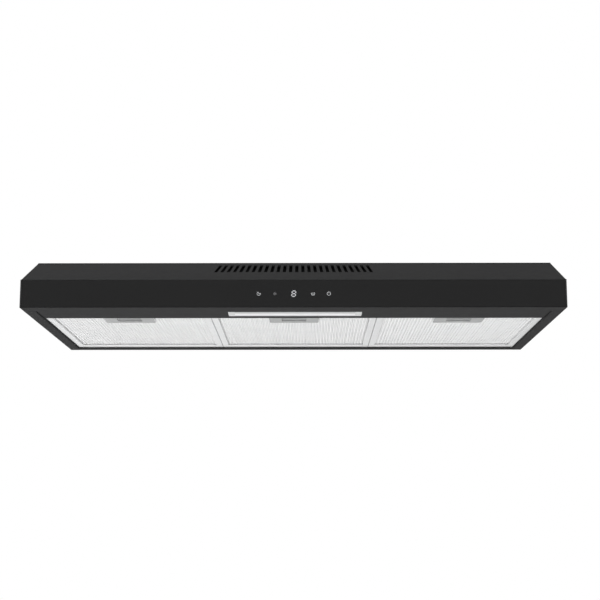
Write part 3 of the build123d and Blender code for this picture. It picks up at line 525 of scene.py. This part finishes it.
def mesh_from(bm, name):
    """A mesh with the shape that was drawn."""
    mesh = bpy.data.meshes.new(name)
    bm.to_mesh(mesh)
    bm.free()
    return mesh


def smooth_by_angle(mesh, angle):
    """Smooth shading, broken at edges sharper than an angle."""
    mesh.polygons.foreach_set("use_smooth", [True] * len(mesh.polygons))
    mesh.set_sharp_from_angle(angle=angle)


def softened(node, width):
    """A copy of a solid with its sharp edges rounded, which stands for it."""
    bm = bmesh.new()
    bm.from_mesh(nodes[node].data)
    bmesh.ops.remove_doubles(bm, verts=bm.verts, dist=WELD)
    bmesh.ops.dissolve_limit(bm, angle_limit=FLAT_ANGLE, verts=bm.verts, edges=bm.edges)
    sharp = [e for e in bm.edges if len(e.link_faces) == 2 and e.calc_face_angle() > SHARP_ANGLE]
    bmesh.ops.bevel(
        bm, geom=sharp, offset=width, segments=SOFT_SEGMENTS, profile=0.5, affect="EDGES", clamp_overlap=True
    )
    bmesh.ops.triangulate(bm, faces=[f for f in bm.faces if len(f.verts) > 4])
    mesh = mesh_from(bm, node + "_soft")
    smooth_by_angle(mesh, SMOOTH_ANGLE)
    piece = make_piece(node + "_soft", mesh, body_of[node], slot_of[node], look_of(node))
    weighted = piece.modifiers.new("flat_faces", "WEIGHTED_NORMAL")
    weighted.keep_sharp = True
    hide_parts(node)


def finish_nodes():
    """Every solid gets its finish, and the pressed and moulded ones soft edges."""
    for name, node in nodes.items():
        node.data.materials.clear()
        node.data.materials.append(look_of(name))
    for name, width in SOFT_EDGES.items():
        softened(name, width)


def tube(bm, rings):
    """Walls between rings of points, closed at both ends."""
    for ring, after in zip(rings, rings[1:]):
        for i in range(len(ring)):
            j = (i + 1) % len(ring)
            bm.faces.new((ring[i], after[i], after[j], ring[j]))
    bm.faces.new(rings[0])
    bm.faces.new(reversed(rings[-1]))


def strand(bm, points, width, tilt):
    """A ribbon of metal through the points, closed at both ends."""
    across = Vector((math.cos(tilt), 0, math.sin(tilt))) * (width / 2)
    up = Vector((-math.sin(tilt), 0, math.cos(tilt))) * (MESH_THICKNESS / 2)
    section = (-across - up, across - up, across + up, up - across)
    tube(bm, [[bm.verts.new(point + corner) for corner in section] for point in points])


def expanded_layer(bm, low, high, z, cell, shift, well):
    """A layer of expanded metal: zigzag strands that meet their neighbours at each knuckle."""
    cell_width, cell_length, width = cell
    gap = cell_width / 2
    count = int((high.x - low.x - shift) / gap)
    steps = round((high.y - low.y) / (cell_length / 2))
    swing = (gap - width) / 2
    for k in range(count + 1):
        x = low.x + shift + k * gap
        lean = 1 if k % 2 else -1
        points = []
        for i in range(steps + 1):
            y = low.y + i * (high.y - low.y) / steps
            if abs(x - well.x) < WELL_HALF and y < well.y:
                continue
            turn = 1 if i % 2 else -1
            points.append(Vector((x + lean * turn * swing, y, z + turn * MESH_THICKNESS / 2)))
        strand(bm, points, width, lean * MESH_TILT)


def filter_sheet(name, kind, layers, material):
    """The stacked layers of expanded metal that show between the lips of one filter."""
    low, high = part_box(f"filter_frame_{name}")
    plate_low, plate_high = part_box(f"latch_housing_{name}")
    inset = SIDE_LIP - UNDER_LIP
    inner_low = low + Vector((inset, inset, 0))
    inner_high = high - Vector((inset, REAR_LIP - UNDER_LIP, 0))
    well = Vector(((plate_low.x + plate_high.x) / 2, plate_high.y - WELL_TO_PLATE_END))
    bm = bmesh.new()
    for z, cell, shift in layers:
        expanded_layer(bm, inner_low, inner_high, z, cell, shift, well)
    piece = make_piece(f"{kind}_{name}_fine", mesh_from(bm, kind), f"filter_{name}", "aluminium", material)
    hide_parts(f"{kind}_{name}")


def add_filter_sheets():
    """The face and the core of each filter; every other layer of the core is shifted by a quarter cell."""
    for name in FILTERS:
        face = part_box(f"filter_mesh_{name}")[0].z + MESH_LIFT
        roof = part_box(f"filter_core_{name}")[1].z - MESH_LIFT
        filter_sheet(name, "filter_mesh", [(face, FACE_CELL, 0)], MESH)
        layers = []
        for i in range(1, CORE_LAYERS + 1):
            z = face + (roof - face) * i / CORE_LAYERS
            layers.append((z, CORE_CELL, CORE_SHIFT * (i % 2)))
        filter_sheet(name, "filter_core", layers, LOOKS["aluminium"])


def bowed_leaf(node):
    """A leaf spring as tall as its solid, bowed from its two feet to the crest on the finger bar."""
    low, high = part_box(node)
    bm = bmesh.new()
    rings = []
    for i in range(LEAF_STEPS + 1):
        t = 2 * i / LEAF_STEPS - 1
        bow = (high.y - low.y - LEAF_THICKNESS) * (1 + math.cos(math.pi * t)) / 2
        x = (low.x + high.x) / 2 + t * (high.x - low.x) / 2
        back = high.y - bow
        front = back - LEAF_THICKNESS
        section = ((front, low.z), (front, high.z), (back, high.z), (back, low.z))
        rings.append([bm.verts.new((x, y, z)) for y, z in section])
    tube(bm, rings)
    return mesh_from(bm, node)


def add_leaf_springs():
    """A bowed leaf for the spring of each latch, riding on its filter."""
    for name in FILTERS:
        node = f"latch_spring_{name}"
        leaf = make_piece(f"{node}_leaf", bowed_leaf(node), f"filter_{name}", "steel")
        smooth_by_angle(leaf.data, SMOOTH_ANGLE)
        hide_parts(node)
        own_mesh(leaf)


def folded_sheet(profile, thickness, half):
    """A sheet folded along a line in Y and Z, from one side to the other."""
    points = [Vector(point) for point in profile]
    normals = []
    for start, end in zip(points, points[1:]):
        line = (end - start).normalized()
        normals.append(Vector((-line.y, line.x)))
    offsets = [normals[0]]
    for before, after in zip(normals, normals[1:]):
        middle = (before + after).normalized()
        offsets.append(middle / middle.dot(before))
    offsets.append(normals[-1])
    outline = points + [p + o * thickness for p, o in zip(reversed(points), reversed(offsets))]
    bm = bmesh.new()
    left, right = ([bm.verts.new((x, p.x, p.y)) for p in outline] for x in (-half, half))
    last = len(outline) - 1
    for i in range(last + 1):
        j = 0 if i == last else i + 1
        bm.faces.new((left[i], left[j], right[j], right[i]))
    for ring in (left, right):
        for i in range(len(points) - 1):
            bm.faces.new((ring[i], ring[i + 1], ring[last - i - 1], ring[last - i]))
    bmesh.ops.recalc_face_normals(bm, faces=bm.faces)
    return bm


def add_partition():
    """The sheet that closes the lamp bay off from the filters, from the lamp panel to the slope."""
    lamp_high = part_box("lamp_panel")[1]
    foot = lamp_high.y - PARTITION_SETBACK
    top_low, top_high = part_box("top_panel")
    head = Vector((top_low.y + PARTITION_TOP[0], top_high.z + PARTITION_TOP[1]))
    profile = [
        (foot, lamp_high.z - PARTITION_TAB),
        (foot, lamp_high.z),
        tuple(head),
        (head.x + PARTITION_FLANGE[0], head.y + PARTITION_FLANGE[1]),
    ]
    mesh = mesh_from(folded_sheet(profile, PARTITION_SHEET, PARTITION_HALF), "plenum_partition")
    make_piece("plenum_partition", mesh, "hood", "black_coat")


def add_glass():
    """The glass strip with rounded front edges, behind the print on its face and up to the brow's sheet."""
    low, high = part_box("fascia_glass")
    low.y += SYMBOL_THICKNESS
    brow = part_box("front_frame")[1].z - BROW_SHEET
    bm = bmesh.new()
    bmesh.ops.create_cube(bm, size=1)
    size = Vector((high.x - low.x, high.y - low.y, brow - low.z))
    middle = Vector(((low.x + high.x) / 2, (low.y + high.y) / 2, (low.z + brow) / 2))
    for vert in bm.verts:
        vert.co = middle + Vector(a * b for a, b in zip(vert.co, size))
    front = [e for e in bm.edges if all(abs(v.co.y - low.y) < WELD for v in e.verts)]
    bmesh.ops.bevel(
        bm, geom=front, offset=GLASS_ROUNDING, segments=GLASS_SEGMENTS, profile=0.5, affect="EDGES"
    )
    mesh = mesh_from(bm, "fascia_glass")
    smooth_by_angle(mesh, SMOOTH_ANGLE)
    piece = make_piece("fascia_glass_pane", mesh, "hood", "dark_glass")
    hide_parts("fascia_glass")


def flat_symbol(name, strips, x, material):
    """A symbol on the glass front: flat strips given as pairs of lines in X and Z."""
    low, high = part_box("fascia_glass")
    middle = Vector((x, low.y, (low.z + high.z) / 2))
    bm = bmesh.new()
    for inner, outer in strips:
        rows = []
        for line in (inner, outer):
            front = [bm.verts.new(middle + Vector((px, 0, pz))) for px, pz in line]
            back = [bm.verts.new(middle + Vector((px, SYMBOL_THICKNESS, pz))) for px, pz in line]
            rows.append((front, back))
        (inner_front, inner_back), (outer_front, outer_back) = rows
        last = len(inner) - 1
        for i in range(last):
            j = i + 1
            bm.faces.new((inner_front[i], inner_front[j], outer_front[j], outer_front[i]))
            bm.faces.new((outer_front[i], outer_front[j], outer_back[j], outer_back[i]))
            bm.faces.new((inner_front[j], inner_front[i], inner_back[i], inner_back[j]))
            bm.faces.new((inner_back[j], inner_back[i], outer_back[i], outer_back[j]))
        closed = (Vector(inner[0]) - Vector(inner[last])).length < SYMBOL_WELD
        for i in () if closed else (0, last):
            bm.faces.new((inner_front[i], outer_front[i], outer_back[i], inner_back[i]))
    bmesh.ops.remove_doubles(bm, verts=bm.verts, dist=SYMBOL_WELD)
    bmesh.ops.recalc_face_normals(bm, faces=bm.faces)
    make_piece(name, mesh_from(bm, name), "hood", "frosted", material)


def arc(radius, start, end):
    """A strip along an arc between two angles in degrees."""
    angles = [math.radians(start + (end - start) * i / ARC_STEPS) for i in range(ARC_STEPS + 1)]
    radii = (radius - SYMBOL_LINE / 2, radius + SYMBOL_LINE / 2)
    return tuple([(r * math.cos(a), r * math.sin(a)) for a in angles] for r in radii)


def bar(start, end, width=SYMBOL_LINE):
    """A straight strip between two points."""
    first, last = Vector(start), Vector(end)
    line = last - first
    half = Vector((-line.y, line.x)).normalized() * (width / 2)
    return [tuple(first - half), tuple(last - half)], [tuple(first + half), tuple(last + half)]


def slanted(strip):
    """A strip leaned to the right, as the segments of the digit are."""
    return tuple([(x + DIGIT_SLANT * z, z) for x, z in line] for line in strip)


def timer_strips():
    """A ring open at its upper right, with two hands."""
    hands = [bar((0, 0), (0, HAND_UP)), bar((HAND_LEVEL[0], 0), (HAND_LEVEL[1], 0))]
    return [arc(RING_RADIUS, *TIMER_RING)] + hands


def lamp_strips():
    """A small ring with rays round it."""
    rays = []
    for i in range(RAY_COUNT):
        angle = 2 * math.pi * i / RAY_COUNT
        line = Vector((math.cos(angle), math.sin(angle)))
        rays.append(bar(line * RAY[0], line * RAY[1]))
    return [arc(LAMP_RADIUS, *LAMP_RING)] + rays


def digit_strips():
    """The seven segments, all lit."""
    half, tall = DIGIT_WIDTH / 2, DIGIT_HEIGHT / 2
    strips = [bar((DIGIT_GAP - half, z), (half - DIGIT_GAP, z), DIGIT_LINE) for z in (-tall, 0, tall)]
    for x in (-half, half):
        for low, high in ((DIGIT_GAP - tall, -DIGIT_GAP), (DIGIT_GAP, tall - DIGIT_GAP)):
            strips.append(bar((x, low), (x, high), DIGIT_LINE))
    return [slanted(strip) for strip in strips]


def speed_strips():
    """A ring open at its top, round three blades."""
    blades = [arc(BLADE_RADIUS, start, start + BLADE_SWEEP) for start in BLADE_STARTS]
    return [arc(RING_RADIUS, *SPEED_RING)] + blades


def power_strips():
    """A ring open at its top, with an upright bar in the gap."""
    return [arc(RING_RADIUS, *POWER_RING), bar((0, POWER_BAR[0]), (0, POWER_BAR[1]))]


def add_symbols():
    """Timer, lamp, speed digit, fan speed and power, from left to right."""
    pads_low, pads_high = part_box("touch_pads")
    timer_x = pads_low.x + SYMBOL_INSET
    power_x = pads_high.x - SYMBOL_INSET
    flat_symbol("symbol_timer", timer_strips(), timer_x, SYMBOL)
    flat_symbol("symbol_lamp", lamp_strips(), timer_x + LAMP_FROM_TIMER, SYMBOL_DIM)
    flat_symbol("symbol_digit", digit_strips(), DIGIT_X, SYMBOL)
    flat_symbol("symbol_speed", speed_strips(), power_x - SPEED_FROM_POWER, SYMBOL)
    flat_symbol("symbol_power", power_strips(), power_x, SYMBOL)


def cross_outline():
    """The outline of a cross recess, a quarter turn at a time."""
    quarter = [(CROSS_HALF, CROSS_HALF), (CROSS_HALF, CROSS_REACH), (-CROSS_HALF, CROSS_REACH)]
    outline = []
    for _ in range(4):
        outline += quarter
        quarter = [(-y, x) for x, y in quarter]
    return outline


def screw_head(bm, seat, up, turn):
    """A pan head with a cross recess, standing on its seat."""
    turned = up.to_track_quat("Z", "Y").to_matrix().to_4x4() @ Matrix.Rotation(turn, 4, "Z")
    placed = Matrix.Translation(seat) @ turned

    def loop(points, height):
        return [bm.verts.new(placed @ Vector((x, y, height))) for x, y in points]

    def join(ring, after):
        for i in range(len(ring)):
            j = (i + 1) % len(ring)
            bm.faces.new((ring[i], ring[j], after[j], after[i]))

    angles = [2 * math.pi * i / SCREW_STEPS for i in range(SCREW_STEPS)]
    rings = []
    for share, height in SCREW_PROFILE:
        radius = share * SCREW_RADIUS
        circle = [(radius * math.cos(a), radius * math.sin(a)) for a in angles]
        rings.append(loop(circle, height * SCREW_HEIGHT))
    for ring, after in zip(rings, rings[1:]):
        join(ring, after)
    bm.faces.new(reversed(rings[0]))
    outline = cross_outline()
    mouth = loop(outline, SCREW_HEIGHT)
    root = loop([(x * CROSS_TAPER, y * CROSS_TAPER) for x, y in outline], SCREW_HEIGHT - CROSS_DEPTH)
    join(mouth, root)
    floor = bm.faces.new(root)
    bmesh.ops.triangulate(bm, faces=[floor])
    rim = [bm.edges.get((ring[i], ring[i - 1])) for ring in (rings[-1], mouth) for i in range(len(ring))]
    bmesh.ops.triangle_fill(bm, use_beauty=True, edges=rim, normal=up)


def add_screws(name, node, places, facing, slot):
    """Screws at places in X and Y, whose heads stand on a solid, facing up for 1 and down for -1."""
    solid = nodes[node].data
    points = [vert.co for vert in solid.vertices]
    surface = BVHTree.FromPolygons(points, [tuple(face.vertices) for face in solid.polygons])
    up = Vector((0, 0, facing))
    bm = bmesh.new()
    for i, (x, y) in enumerate(places):
        seat = surface.ray_cast(Vector((x, y, 0)) + up, -up)[0]
        screw_head(bm, seat, up, i * SCREW_TURN)
    bmesh.ops.recalc_face_normals(bm, faces=bm.faces)
    mesh = mesh_from(bm, name)
    smooth_by_angle(mesh, SHARP_ANGLE)
    make_piece(name, mesh, body_of[node], slot)


def near_corners(node, inset_x, inset_y):
    """Four places in X and Y near the corners of a solid's box."""
    low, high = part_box(node)
    return [(x, y) for x in (low.x + inset_x, high.x - inset_x) for y in (low.y + inset_y, high.y - inset_y)]


def add_all_screws():
    """The fixings of the collar, the top panel, the entry plate and the power box."""
    add_screws("screws_collar", "duct_collar", near_corners("duct_collar", *COLLAR_INSET), 1, "steel")
    low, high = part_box("top_panel")
    across = [low.x + (high.x - low.x) * share for share in TOP_SHARES]
    front = [(x, low.y + TOP_FRONT_INSET) for x in across]
    rear = [(x, high.y - TOP_REAR_INSET) for x in across]
    add_screws("screws_top_front", "top_panel", front, 1, "black_coat")
    add_screws("screws_top_rear", "top_panel", rear, 1, "black_coat")
    add_screws("screws_entry", "top_panel", near_corners("entry_plate", *ENTRY_INSET), 1, "black_coat")
    add_screws("screws_power_box", "power_box", near_corners("power_box", *POWER_BOX_INSET), -1, "steel")


# Stage


def add_floor():
    """A square of pale floor below the object."""
    z = cad_bounds[0].z - FLOOR_DROP
    outline = ((-1, -1), (1, -1), (1, 1), (-1, 1))
    mesh = bpy.data.meshes.new("floor")
    mesh.from_pydata([(x * FLOOR_HALF, y * FLOOR_HALF, z) for x, y in outline], [], [(0, 1, 2, 3)])
    mesh.materials.append(pale_floor())
    floor = bpy.data.objects.new("floor", mesh)
    bpy.context.scene.collection.objects.link(floor)


def add_world():
    """Soft even light, and plain white behind the object and in its reflections."""
    world = bpy.data.worlds.new("studio")
    world.use_nodes = True
    bpy.context.scene.world = world
    tree = world.node_tree
    background = tree.nodes["Background"]
    background.inputs["Color"].default_value = (1, 1, 1, 1)
    path = tree.nodes.new("ShaderNodeLightPath")
    seen = path.outputs["Is Camera Ray"]
    for ray in ("Is Glossy Ray", "Is Transmission Ray"):
        most = tree.nodes.new("ShaderNodeMath")
        most.operation = "MAXIMUM"
        tree.links.new(seen, most.inputs[0])
        tree.links.new(path.outputs[ray], most.inputs[1])
        seen = most.outputs[0]
    spread = tree.nodes.new("ShaderNodeMapRange")
    spread.inputs["To Min"].default_value = WORLD_STRENGTH
    tree.links.new(seen, spread.inputs["Value"])
    tree.links.new(spread.outputs["Result"], background.inputs["Strength"])


def add_lamp(name, place, target, size, power):
    """A square soft lamp, itself out of the camera's sight."""
    lamp = bpy.data.lights.new(name, "AREA")
    lamp.shape = "SQUARE"
    lamp.size = size
    lamp.energy = power
    holder = bpy.data.objects.new(name, lamp)
    holder.location = place
    holder.rotation_euler = (Vector(target) - Vector(place)).to_track_quat("-Z", "Y").to_euler()
    holder.visible_camera = False
    bpy.context.scene.collection.objects.link(holder)


def add_camera():
    """The camera in front of the hood and below it, looking up."""
    data = bpy.data.cameras.new("camera")
    data.lens = CAMERA_LENS
    data.sensor_width = CAMERA_SENSOR
    holder = bpy.data.objects.new("camera", data)
    level = math.cos(CAMERA_RISE)
    sight = Vector((-math.sin(CAMERA_YAW) * level, math.cos(CAMERA_YAW) * level, math.sin(CAMERA_RISE)))
    low = cad_bounds[0]
    holder.location = (CAMERA_X, low.y - CAMERA_IN_FRONT, low.z - CAMERA_BELOW)
    holder.rotation_euler = sight.to_track_quat("-Z", "Y").to_euler()
    bpy.context.scene.collection.objects.link(holder)
    bpy.context.scene.camera = holder


finish_nodes()
add_filter_sheets()
add_leaf_springs()
add_partition()
add_glass()
add_symbols()
add_all_screws()
add_floor()
add_world()
for lamp_name, lamp_values in LAMPS.items():
    add_lamp(lamp_name, *lamp_values)
add_camera()
bpy.context.scene.view_settings.view_transform = "Standard"
